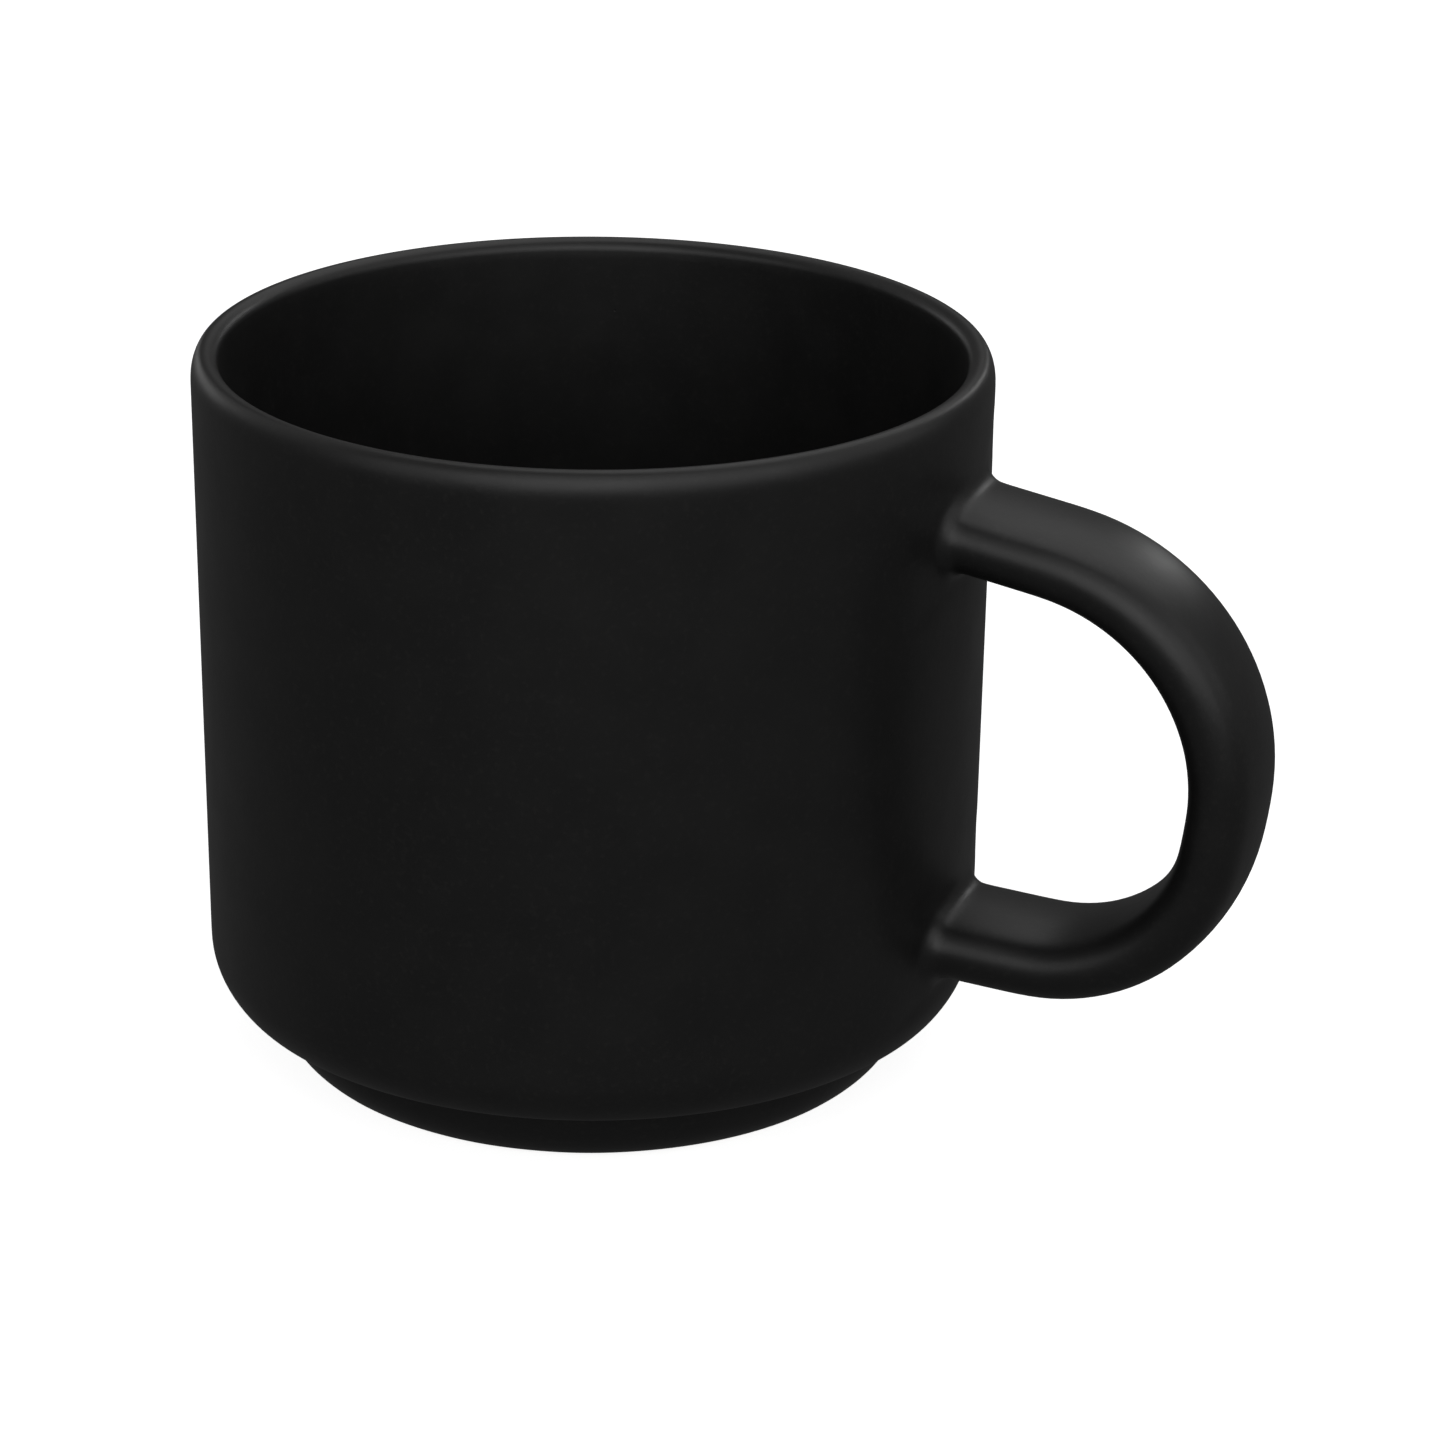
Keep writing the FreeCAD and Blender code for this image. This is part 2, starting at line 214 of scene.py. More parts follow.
def slide(vert: bmesh.types.BMVert, heading: Vector, wall_radius: Callable[[float], float]) -> None:
    """Slide a vertex along a heading until it meets the cup's wall.

    Args:
        vert: The vertex to move.
        heading: The unit vector that it moves along.
        wall_radius: The wall's radius at a height.
    """
    for _ in range(SLIDE_PASSES):
        flat = Vector((vert.co.x, vert.co.y, 0))
        closing = heading.dot(flat.normalized())
        vert.co += heading * ((wall_radius(vert.co.z) - flat.length) / closing)


def finish_piece(
    mesh: bmesh.types.BMesh, name: str, finish: "Finish", nodes: Iterable[str]
) -> bpy.types.Object:
    """Turn a mesh into a finished piece that stands for its CAD nodes.

    Args:
        mesh: The mesh, which is used up.
        name: The piece's name.
        finish: What it is finished in.
        nodes: The CAD nodes that it stands for.

    Returns:
        The piece's object.
    """
    for face in mesh.faces:
        face.smooth = True
    data = bpy.data.meshes.new(name)
    mesh.to_mesh(data)
    mesh.free()
    data.materials.append(finish.material())
    piece = bpy.data.objects.new(name, data)
    bpy.context.scene.collection.objects.link(piece)
    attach(piece, "root")
    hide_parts(*nodes)
    log.info("%s: %d faces before smoothing, for %s", name, len(data.polygons), ", ".join(nodes))
    return piece


# --------------------------------------------------------------------------- finishes


class NodeBench:
    """A material's node tree, with short ways to add the nodes that the finishes share."""

    def __init__(self, name: str) -> None:
        """Start a material.

        Args:
            name: The material's name.
        """
        self.material = bpy.data.materials.new(name)
        self.material.use_nodes = True
        self.tree = self.material.node_tree
        self.shader = next(node for node in self.tree.nodes if node.type == "BSDF_PRINCIPLED")
        self.place = self.tree.nodes.new("ShaderNodeTexCoord").outputs["Object"]

    def grain(
        self, scale: float, detail: float = 2.0, roughness: float = 0.5
    ) -> bpy.types.NodeSocket:
        """Add a noise that is fixed to the piece.

        Args:
            scale: How many grains there are to a metre.
            detail: How many finer layers it has.
            roughness: How strong the finer layers are.

        Returns:
            The noise's value, about 0.5 on average.
        """
        node = self.tree.nodes.new("ShaderNodeTexNoise")
        self.tree.links.new(self.place, node.inputs["Vector"])
        node.inputs["Scale"].default_value = scale
        node.inputs["Detail"].default_value = detail
        node.inputs["Roughness"].default_value = roughness
        return node.outputs["Fac"]

    def spots(self, scale: float, size: float) -> bpy.types.NodeSocket:
        """Add scattered round spots.

        Args:
            scale: How many cells there are to a metre.
            size: Each spot's radius as a share of its cell.

        Returns:
            1 in a spot, falling to 0 at its edge.
        """
        node = self.tree.nodes.new("ShaderNodeTexVoronoi")
        self.tree.links.new(self.place, node.inputs["Vector"])
        node.inputs["Scale"].default_value = scale
        return self.ramp(node.outputs["Distance"], size, 0.0, 0.0, 1.0)

    def ramp(
        self, value: bpy.types.NodeSocket, low: float, high: float, to_low: float, to_high: float
    ) -> bpy.types.NodeSocket:
        """Map a value from one range to another, held at its ends.

        Args:
            value: What to map.
            low: The start of its range.
            high: The end of its range.
            to_low: What the start becomes.
            to_high: What the end becomes.

        Returns:
            The mapped value.
        """
        node = self.tree.nodes.new("ShaderNodeMapRange")
        self.tree.links.new(value, node.inputs["Value"])
        limits = {"From Min": low, "From Max": high, "To Min": to_low, "To Max": to_high}
        for label, number in limits.items():
            node.inputs[label].default_value = number
        return node.outputs["Result"]

    def height(self) -> bpy.types.NodeSocket:
        """Return the height above the foot, in metres."""
        node = self.tree.nodes.new("ShaderNodeSeparateXYZ")
        self.tree.links.new(self.place, node.inputs["Vector"])
        return node.outputs["Z"]

    def blend(
        self, share: bpy.types.NodeSocket, first: Colour | bpy.types.NodeSocket, second: Colour
    ) -> bpy.types.NodeSocket:
        """Blend two colours.

        Args:
            share: How much of the second colour there is.
            first: The first colour, or a socket that gives it.
            second: The second colour.

        Returns:
            The blended colour.
        """
        node = self.tree.nodes.new("ShaderNodeMix")
        node.data_type = "RGBA"
        self.tree.links.new(share, node.inputs["Factor"])
        if isinstance(first, bpy.types.NodeSocket):
            self.tree.links.new(first, node.inputs["A"])
        else:
            node.inputs["A"].default_value = (*first, 1)
        node.inputs["B"].default_value = (*second, 1)
        return next(socket for socket in node.outputs if socket.type == "RGBA")

    def relief(self, layers: Iterable[tuple[bpy.types.NodeSocket, float]]) -> None:
        """Raise the surface by several layers of relief.

        Args:
            layers: Each layer's pattern and its height in metres.
        """
        normal = None
        for pattern, depth in layers:
            node = self.tree.nodes.new("ShaderNodeBump")
            node.inputs["Strength"].default_value = 1.0
            node.inputs["Distance"].default_value = depth
            self.tree.links.new(pattern, node.inputs["Height"])
            if normal is not None:
                self.tree.links.new(normal, node.inputs["Normal"])
            normal = node.outputs["Normal"]
        self.tree.links.new(normal, self.shader.inputs["Normal"])

    def drive(self, label: str, value: bpy.types.NodeSocket) -> None:
        """Link a value to one of the shader's inputs."""
        self.tree.links.new(value, self.shader.inputs[label])


class Finish:
    """What a surface is finished in. Each kind makes its material once."""

    name: str

    def material(self) -> bpy.types.Material:
        """Return the finish's material, which is made the first time."""
        return bpy.data.materials.get(self.name) or self.make()

    def make(self) -> bpy.types.Material:
        """Make the material."""
        raise NotImplementedError


@dataclass(frozen=True)
class SatinGlaze(Finish):
    """A satin black glaze: nearly black, softly shining, with a fine grain and a few pinholes whose
    pits are darkened with painted shade.
    """

    name: str = "satin_black_glaze"
    deep: Colour = (0.0080, 0.0080, 0.0081)
    thin: Colour = (0.0100, 0.0099, 0.0098)
    break_colour: Colour = (0.0165, 0.0160, 0.0154)
    # painted shade: the pinholes' colour, darker than the glaze, stands in for the shade inside
    # each pit
    pinhole_painted_shade: Colour = (0.0020, 0.0020, 0.0020)
    shine: tuple[float, float] = (0.37, 0.42)
    rim_height: float = 86.0 * MM
    break_from: float = 1.2 * MM  # below the rim, where the glaze starts to break to a paler tone
    break_to: float = 0.2 * MM
    clouds: float = 130  # to a metre, as are the next three
    flecks: float = 1500
    patches: float = 160
    pinholes: float = 150
    pinhole_size: float = 0.03
    wave_height: float = 0.03 * MM
    peel_height: float = 0.008 * MM
    tooth_height: float = 0.009 * MM
    pinhole_depth: float = 0.03 * MM

    def make(self) -> bpy.types.Material:
        """Make the material.

        Returns:
            The glaze's material.
        """
        bench = NodeBench(self.name)
        cloud = bench.ramp(bench.grain(self.clouds, 5, 0.6), 0.38, 0.62, 0.0, 1.0)
        fleck = bench.ramp(bench.grain(self.flecks, 2), 0.56, 0.72, 0.0, 0.6)
        colour = bench.blend(cloud, self.deep, self.thin)
        colour = bench.blend(fleck, colour, self.break_colour)
        pale_from, pale_to = self.rim_height - self.break_from, self.rim_height - self.break_to
        thinned = bench.ramp(bench.height(), pale_from, pale_to, 0.0, 0.5)
        colour = bench.blend(thinned, colour, self.break_colour)
        pits_and_painted_shade = bench.spots(self.pinholes, self.pinhole_size)
        # painted shade: each pinhole spot is darkened, most at its centre, as if shade fell in its
        # pit; the same spots are sunk as pits below
        colour = bench.blend(pits_and_painted_shade, colour, self.pinhole_painted_shade)
        bench.drive("Base Color", colour)
        patch = bench.grain(self.patches, 4)
        bench.drive("Roughness", bench.ramp(patch, 0.3, 0.7, *self.shine))
        bench.shader.inputs["IOR"].default_value = 1.5
        bench.relief(
            (
                (bench.grain(60, 1), self.wave_height),
                (bench.grain(420, 2), self.peel_height),
                (bench.grain(1500, 2), self.tooth_height),
                (bench.ramp(pits_and_painted_shade, 0.0, 1.0, 1.0, 0.0), self.pinhole_depth),
            )
        )
        return bench.material


@dataclass(frozen=True)
class BareStoneware(Finish):
    """Fired clay with no glaze: dry, warm grey-brown and speckled, toasted where the glaze ends."""

    name: str = "bare_stoneware"
    body: Colour = (0.34, 0.275, 0.215)
    dark: Colour = (0.25, 0.195, 0.150)
    iron: Colour = (0.060, 0.040, 0.028)
    toast: Colour = (0.19, 0.125, 0.080)
    toast_from: float = 0.35 * MM
    toast_to: float = 0.75 * MM
    coarse_height: float = 0.04 * MM
    fine_height: float = 0.02 * MM

    def make(self) -> bpy.types.Material:
        """Make the material.

        Returns:
            The clay's material.
        """
        bench = NodeBench(self.name)
        cloud = bench.ramp(bench.grain(220, 4), 0.35, 0.65, 0.0, 1.0)
        colour = bench.blend(cloud, self.body, self.dark)
        toasted = bench.ramp(bench.height(), self.toast_from, self.toast_to, 0.0, 0.8)
        colour = bench.blend(toasted, colour, self.toast)
        specks = bench.spots(900, 0.22)
        colour = bench.blend(specks, colour, self.iron)
        bench.drive("Base Color", colour)
        bench.drive("Roughness", bench.ramp(bench.grain(500, 3), 0.3, 0.7, 0.72, 0.92))
        coarse, fine = bench.grain(700, 3), bench.grain(3000, 2)
        bench.relief(((coarse, self.coarse_height), (fine, self.fine_height)))
        return bench.material


@dataclass(frozen=True)
class DriedSlip(Finish):
    """The slip that joins the handle: finer and a little darker than the clay."""

    name: str = "dried_slip"
    body: Colour = (0.30, 0.240, 0.185)
    dark: Colour = (0.22, 0.170, 0.130)
    brush_height: float = 0.05 * MM

    def make(self) -> bpy.types.Material:
        """Make the material.

        Returns:
            The slip's material.
        """
        bench = NodeBench(self.name)
        bench.drive("Base Color", bench.blend(bench.grain(420, 3), self.body, self.dark))
        bench.drive("Roughness", bench.ramp(bench.grain(380, 2), 0.3, 0.7, 0.75, 0.9))
        bench.relief(((bench.grain(600, 2), self.brush_height),))
        return bench.material


@dataclass(frozen=True)
class StudioFloor(Finish):
    """A pale seamless floor with a faint paper tooth."""

    name: str = "studio_floor"
    paper: Colour = (0.62, 0.62, 0.62)
    shade: Colour = (0.58, 0.58, 0.58)
    glow: float = 0.88
    tooth_height: float = 0.01 * MM

    def make(self) -> bpy.types.Material:
        """Make the material.

        Returns:
            The floor's material.
        """
        bench = NodeBench(self.name)
        bench.drive("Base Color", bench.blend(bench.grain(3, 3), self.paper, self.shade))
        bench.shader.inputs["Roughness"].default_value = 0.9
        bench.shader.inputs["Emission Color"].default_value = (1, 1, 1, 1)
        bench.shader.inputs["Emission Strength"].default_value = self.glow
        bench.relief(((bench.grain(900, 2), self.tooth_height),))
        return bench.material


# --------------------------------------------------------------------------- the cup


@dataclass(frozen=True)
class CupSection:
    """The cup's section in bare clay. A skin of glaze stands outside it all round."""

    height: float
    rim_radius: float
    glaze: float
    glaze_line: float
    draft: float = 0.25 * MM
    rim_wall: float = 2.6 * MM
    base_wall: float = 3.4 * MM
    shoulder_height: float = 9.3 * MM
    corner_height: float = 14.0 * MM
    corner_radius: float = 7.1 * MM
    shoulder_edge: float = 0.4 * MM
    floor_height: float = 10.0 * MM
    floor_corner: float = 10.0 * MM
    recess_depth: float = 5.5 * MM
    recess_corner: float = 2.0 * MM
    foot_radius: float = 37.74 * MM
    foot_round: float = 5.0 * MM
    foot_cove: float = 1.2 * MM
    ring_radius: float = 29.5 * MM
    ring_edge: float = 1.0 * MM
    wall_rows: int = 28
    soft_lip: float = 1.5 * MM  # how far below the lip's rounding the glaze starts to thin

    @classmethod
    def from_frame(cls) -> "CupSection":
        """Take the height, the rim's radius and the glaze's thickness from the frame.

        Returns:
            The section.
        """
        clay_low, clay_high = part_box("cup_body")
        _, coat_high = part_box("glaze_coat")
        wiped_low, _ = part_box("base_glaze")
        return cls(
            height=clay_high.z,
            rim_radius=-clay_low.x,
            glaze=coat_high.z - clay_high.z,
            glaze_line=wiped_low.z,
        )

    @property
    def base_radius(self) -> float:
        """The clay wall's radius where it begins, above the corner."""
        return self.rim_radius - self.draft

    @property
    def lip_radius(self) -> float:
        """The radius of the clay lip's rounding."""
        return self.rim_wall / 2

    @property
    def lip_height(self) -> float:
        """The height where the lip's rounding begins."""
        return self.height - self.lip_radius

    def wall_radius(self, height: float) -> float:
        """Return the glazed outside's radius.

        Args:
            height: A height from the shoulder's underside up to the lip.

        Returns:
            The radius at that height.
        """
        rise = height - self.corner_height
        if rise >= 0:
            share = rise / (self.lip_height - self.corner_height)
            return self.base_radius + self.draft * share + self.glaze
        corner = self.corner_radius + self.glaze
        return self.base_radius - self.corner_radius + math.sqrt(max(corner**2 - rise**2, 0))

    def row_height(self, row: int) -> float:
        """Return the height of one of the wall's rows of vertices.

        Args:
            row: The row, where 0 is the wall's start and -1 the row below it, in the corner.

        Returns:
            Its height.
        """
        if row < 0:
            corner = self.corner_radius + self.glaze
            return self.corner_height + corner * math.sin(row * self.corner_turn() / CORNER_STEPS)
        return self.corner_height + row * (self.lip_height - self.corner_height) / self.wall_rows

    def corner_turn(self) -> float:
        """Return the glazed corner's turn from the shoulder to the wall, in radians."""
        drop = self.corner_height - self.shoulder_height + self.glaze
        return math.asin(drop / (self.corner_radius + self.glaze))

    def draw_outside(self, pen: Pen, skin: float) -> None:
        """Draw the outside, the lip and the inside, from the foot's rounding to the floor's centre.

        Args:
            pen: A pen on the foot's rounding.
            skin: How far the section stands outside the clay.
        """
        ring_outer = self.foot_radius - self.foot_round
        below = math.hypot(pen.tip.co.x - ring_outer, pen.tip.co.z - self.foot_round)
        start = math.degrees(math.asin(min((pen.tip.co.x - ring_outer) / below, 1.0)))
        foot = self.foot_radius + skin
        shoulder = self.shoulder_height - skin
        corner = self.corner_radius + skin
        corner_x = self.base_radius - self.corner_radius
        sweep = math.degrees(math.asin((self.corner_height - shoulder) / corner))
        shoulder_x = corner_x + corner * math.cos(math.radians(sweep))
        lip = self.lip_radius + skin
        lip_x = self.rim_radius - self.lip_radius
        inner_x = self.base_radius - self.base_wall - skin
        inner_corner = self.floor_corner - skin
        floor = self.floor_height + skin
        pen.arc(ring_outer, self.foot_round, 90 - start, steps=6)
        pen.line_to(foot, shoulder, steps=2)
        pen.line_to(shoulder_x, shoulder, steps=3)
        pen.arc(corner_x, self.corner_height, sweep, CORNER_STEPS)
        if skin:
            last_row = self.row_height(self.wall_rows - 1)
            thinning = self.lip_height - self.soft_lip
            pen.line_to(self.wall_radius(last_row), last_row, self.wall_rows - 1)
            pen.line_to(self.wall_radius(thinning), thinning)
            pen.oval(lip_x, thinning, self.soft_lip + lip, steps=8)
            pen.arc(lip_x, self.lip_height, 90, steps=5)
        else:
            pen.line_to(self.rim_radius, self.lip_height, self.wall_rows)
            pen.arc(lip_x, self.lip_height, 180, steps=10)
        pen.line_to(inner_x, floor + inner_corner, steps=12)
        pen.arc(inner_x - inner_corner, floor + inner_corner, -90, steps=8)
        pen.line_to(0, floor, steps=4)
        pen.round_at(foot, shoulder, self.foot_cove - skin, 90)
        pen.round_at(shoulder_x, shoulder, self.shoulder_edge + skin, 90 - sweep)


@dataclass(frozen=True)
class Strap:
    """The handle's strap in glazed size: its section, its route and where it meets the wall."""

    reach: float
    half_width: float
    half_thickness: float
    edge_radius: float
    upper_height: float = 71.0 * MM
    lower_height: float = 20.8 * MM
    root: float = 43.75 * MM
    upper_bend: float = 25.2 * MM
    lower_bend: float = 20.3 * MM
    upper_slope: float = -9.3
    grip_slope: float = -97.2
    lower_slope: float = -183.0
    cove: float = 1.9 * MM
    cove_steps: int = 5
    face_steps: int = 10
    edge_steps: int = 7
    upper_steps: int = 16
    lower_steps: int = 13

    @classmethod
    def from_frame(cls, glaze: float) -> "Strap":
        """Take the strap's reach and width from the frame.

        Args:
            glaze: The glaze's thickness.

        Returns:
            The strap.
        """
        _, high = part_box("handle")
        return cls(
            reach=high.x - CLAY_STRAP_HALF,
            half_width=high.y + glaze,
            half_thickness=CLAY_STRAP_HALF + glaze,
            edge_radius=CLAY_STRAP_HALF - CLAY_STRAP_CROWN + glaze,
        )

    def route(self) -> tuple[Vector, Vector]:
        """Find the centres of the upper and the lower bend.

        Returns:
            The two centres, in the XZ plane.
        """
        upper, grip, lower = (math.radians(angle) for angle in self.headings())
        start_x = self.reach - self.upper_bend - self.upper_bend * math.sin(upper)
        start_z = self.upper_height + (start_x - self.root) * math.tan(upper)
        first = Vector((start_x, 0, start_z)) + right_of(upper) * self.upper_bend
        leaving = first - right_of(grip) * self.upper_bend
        arm_root = Vector((self.root, 0, self.lower_height))
        rest = leaving + right_of(grip) * self.lower_bend - arm_root
        run = (self.lower_bend - rest.dot(right_of(lower))) / along(grip).dot(right_of(lower))
        return first, leaving + along(grip) * run + right_of(grip) * self.lower_bend

    def headings(self) -> tuple[float, float, float]:
        """Return the headings of the upper arm, the grip and the lower arm, in degrees."""
        return self.upper_slope, self.grip_slope, self.lower_slope

    def draw_section(
        self, mesh: bmesh.types.BMesh, place: Vector, heading: float
    ) -> list[bmesh.types.BMEdge]:
        """Draw the strap's section: two crowned faces between two rounded edges.

        Args:
            mesh: The mesh to draw in.
            place: The section's centre.
            heading: The way the strap runs there, in radians from +X up to +Z.

        Returns:
            The section's edges.
        """
        known = set(mesh.verts)
        edge_x = self.half_width - self.edge_radius
        crown = self.half_thickness - self.edge_radius
        face = (edge_x**2 + crown**2) / (2 * crown) + self.edge_radius
        face_z = self.half_thickness - face
        half_face = math.asin(edge_x / (face - self.edge_radius))
        corner = Vector((face * math.sin(half_face), 0, face_z + face * math.cos(half_face)))
        face_sweep = 2 * math.degrees(half_face)
        pen = Pen(corner.x, -corner.z, mesh)
        pen.arc(edge_x, 0, 180 - face_sweep, self.edge_steps)
        pen.arc(0, face_z, face_sweep, self.face_steps)
        pen.arc(-edge_x, 0, 180 - face_sweep, self.edge_steps)
        pen.arc(0, -face_z, face_sweep, self.face_steps)
        drawn = [vert for vert in mesh.verts if vert not in known]
        bmesh.ops.remove_doubles(mesh, verts=drawn, dist=MERGE)
        drawn = [vert for vert in mesh.verts if vert not in known]
        turned = Matrix.Rotation(-heading, 4, "Y") @ Matrix.Rotation(math.pi / 2, 4, "Z")
        bmesh.ops.transform(mesh, matrix=Matrix.Translation(place) @ turned, verts=drawn)
        return list({edge for vert in drawn for edge in vert.link_edges})


def along(heading: float) -> Vector:
    """Return the unit vector along a heading in the XZ plane, in radians from +X up to +Z."""
    return Vector((math.cos(heading), 0, math.sin(heading)))


def right_of(heading: float) -> Vector:
    """Return the unit vector to the right of a heading in the XZ plane."""
    return Vector((math.sin(heading), 0, -math.cos(heading)))


@dataclass(frozen=True)
class JointPatch:
    """The part of the wall that is opened for one end of the handle, in rows and columns."""

    low_row: int
    high_row: int
    half_columns: int
    wall_depth: float = 1.5 * MM  # how far inside the wall's outside a point may lie
    slack: float = 0.1 * MM  # how far from the patch's rim a point is in doubt
    on_wall: float = 0.05 * MM  # how near the wall's surface its rim lies

    def holds(self, section: CupSection, point: Vector, margin: float) -> bool:
        """Say whether a point of the wall is in the patch.

        Args:
            section: The cup's section.
            point: The point.
            margin: How far outside the patch still counts.

        Returns:
            True if it is.
        """
        spread = math.tau * self.half_columns / COLUMNS
        low, high = section.row_height(self.low_row), section.row_height(self.high_row)
        outside = math.hypot(point.x, point.y) > section.base_radius - self.wall_depth
        turned = abs(math.atan2(point.y, point.x)) <= spread + margin / section.rim_radius
        return outside and turned and low - margin <= point.z <= high + margin

    def open(self, mesh: bmesh.types.BMesh, section: CupSection) -> None:
        """Take the patch's faces out of the wall.

        Args:
            mesh: The coat's mesh.
            section: The cup's section.
        """
        faces = [
            face
            for face in mesh.faces
            if self.holds(section, face.calc_center_median(), -self.slack)
        ]
        bmesh.ops.delete(mesh, geom=faces, context="FACES")

    def rim(self, mesh: bmesh.types.BMesh, section: CupSection) -> set[bmesh.types.BMVert]:
        """Find the vertices round the hole.

        Args:
            mesh: The coat's mesh.
            section: The cup's section.

        Returns:
            The vertices.
        """
        return {
            vert
            for vert in mesh.verts
            if vert.is_boundary
            and self.holds(section, vert.co, self.slack)
            and abs(vert.co.xy.length - section.wall_radius(vert.co.z)) < self.on_wall
        }


@dataclass
class GlazeCoat:
    """The black glaze all over the mug: one skin over the cup, the coves and the handle."""

    section: CupSection
    strap: Strap
    upper: JointPatch = JointPatch(low_row=19, high_row=26, half_columns=5)
    lower: JointPatch = JointPatch(low_row=-1, high_row=6, half_columns=5)
    ring_gap: float = 2.4 * MM  # between the rings of faces along an arm
    wobble: float = 0.12 * MM  # how far the wiped edge wanders
    spoke_inset: float = 0.3 * MM  # how far inside the hole's rim the wall's new edges end
    near_wall: float = 0.07 * MM  # how near the wall a vertex is laid on it

    def build(self) -> bpy.types.Object:
        """Build the coat.

        Returns:
            The finished piece.
        """
        mesh = self.turn_skin()
        for patch in (self.upper, self.lower):
            patch.open(mesh, self.section)
        self.grow_handle(mesh)
        wander(mesh, self.wobble)
        bmesh.ops.recalc_face_normals(mesh, faces=mesh.faces)
        piece = finish_piece(mesh, "black_glaze_coat", SatinGlaze(), ["glaze_coat"])
        thicken(piece, self.section.glaze)
        smooth(piece)
        return piece

    def turn_skin(self) -> bmesh.types.BMesh:
        """Turn the cup's glazed outside and inside.

        Returns:
            The mesh, open at the glaze line.
        """
        section = self.section
        skin = section.glaze
        round_radius = section.foot_round + skin
        drop = section.foot_round - section.glaze_line
        start_x = section.foot_radius - section.foot_round + math.sqrt(round_radius**2 - drop**2)
        pen = Pen(start_x, section.glaze_line)
        section.draw_outside(pen, skin)
        turn_about_axis(pen.mesh)
        return pen.mesh

    def grow_handle(self, mesh: bmesh.types.BMesh) -> None:
        """Grow the handle between the two holes in the wall and round its coves.

        Args:
            mesh: The coat's mesh.
        """
        strap = self.strap
        first, second = strap.route()
        upper, grip, lower = (math.radians(angle) for angle in strap.headings())
        start = first - right_of(upper) * strap.upper_bend
        begin = strap.draw_section(mesh, start, upper)
        last = self.bend(mesh, begin, first, upper - grip, strap.upper_steps)
        end_of_grip = second - right_of(grip) * strap.lower_bend
        start_of_grip = first - right_of(grip) * strap.upper_bend
        last = self.push(mesh, last, end_of_grip - start_of_grip)
        last = self.bend(mesh, last, second, grip - lower, strap.lower_steps)
        lower_start = second - right_of(lower) * strap.lower_bend
        for patch, edges, heading, place in (
            (self.upper, begin, -along(upper), start),
            (self.lower, last, along(lower), lower_start),
        ):
            self.join(mesh, patch, edges, heading, place)

    def bend(
        self,
        mesh: bmesh.types.BMesh,
        edges: list[bmesh.types.BMEdge],
        centre: Vector,
        angle: float,
        steps: int,
    ) -> list[bmesh.types.BMEdge]:
        """Sweep the strap's section round a bend.

        Args:
            mesh: The coat's mesh.
            edges: The section's edges.
            centre: The bend's centre.
            angle: How far it turns, in radians.
            steps: How many rings of faces it has.

        Returns:
            The edges of the section at the bend's end.
        """
        verts = {vert for edge in edges for vert in edge.verts}
        swept = bmesh.ops.spin(
            mesh, geom=[*edges, *verts], cent=centre, axis=(0, 1, 0), angle=angle, steps=steps
        )
        return [item for item in swept["geom_last"] if isinstance(item, bmesh.types.BMEdge)]

    def push(
        self, mesh: bmesh.types.BMesh, edges: list[bmesh.types.BMEdge], way: Vector
    ) -> list[bmesh.types.BMEdge]:
        """Push the strap's section straight on.

        Args:
            mesh: The coat's mesh.
            edges: The section's edges.
            way: How far and which way.

        Returns:
            The edges of the section at its new place.
        """
        grown = bmesh.ops.extrude_edge_only(mesh, edges=edges)["geom"]
        verts = [item for item in grown if isinstance(item, bmesh.types.BMVert)]
        bmesh.ops.translate(mesh, verts=verts, vec=way)
        return [item for item in grown if isinstance(item, bmesh.types.BMEdge) and item.is_boundary]

    def join(
        self,
        mesh: bmesh.types.BMesh,
        patch: JointPatch,
        edges: list[bmesh.types.BMEdge],
        heading: Vector,
        place: Vector,
    ) -> None:
        """Carry one arm of the handle to the wall, weld it into its hole and round the cove.

        Args:
            mesh: The coat's mesh.
            patch: The hole in the wall.
            edges: The strap's section where the arm begins.
            heading: The way to the wall.
            place: The centre of that section.
        """
        section, strap = self.section, self.strap
        arm = (place.x - section.wall_radius(place.z)) / -heading.x
        rings = max(round((arm - strap.cove - self.ring_gap) / self.ring_gap), 1)
        stride = (arm - strap.cove - self.ring_gap / 2) / rings
        for _ in range(rings):
            edges = self.push(mesh, edges, heading * stride)
        rim = patch.rim(mesh, section)
        edges = self.push(mesh, edges, heading * self.ring_gap)
        ring = {vert for edge in edges for vert in edge.verts}
        for vert in ring:
            slide(vert, heading, section.wall_radius)
        hole = [e for e in mesh.edges if e.is_boundary and e.verts[0] in rim and e.verts[1] in rim]
        bmesh.ops.bridge_loops(mesh, edges=[*hole, *edges])
        seam = [e for e in mesh.edges if e.verts[0] in ring and e.verts[1] in ring]
        bmesh.ops.bevel(
            mesh,
            geom=[*seam, *ring],
            offset=strap.cove,
            offset_type="OFFSET",
            segments=strap.cove_steps,
            profile=0.5,
            affect="EDGES",
            material=-1,
        )
        spokes = []
        for vert in rim:
            for edge in vert.link_edges:
                end = edge.other_vert(vert)
                if end not in rim and patch.holds(section, end.co, -self.spoke_inset):
                    spokes.append(edge)
        self.lay_on_wall(mesh, {vert for edge in spokes for vert in edge.verts} - rim)
        bmesh.ops.subdivide_edges(mesh, edges=spokes, cuts=1, use_grid_fill=True)
        self.lay_on_wall(
            mesh,
            {
                vert
                for vert in mesh.verts
                if patch.holds(section, vert.co, 0)
                and abs(vert.co.xy.length - section.wall_radius(vert.co.z)) < self.near_wall
            },
        )

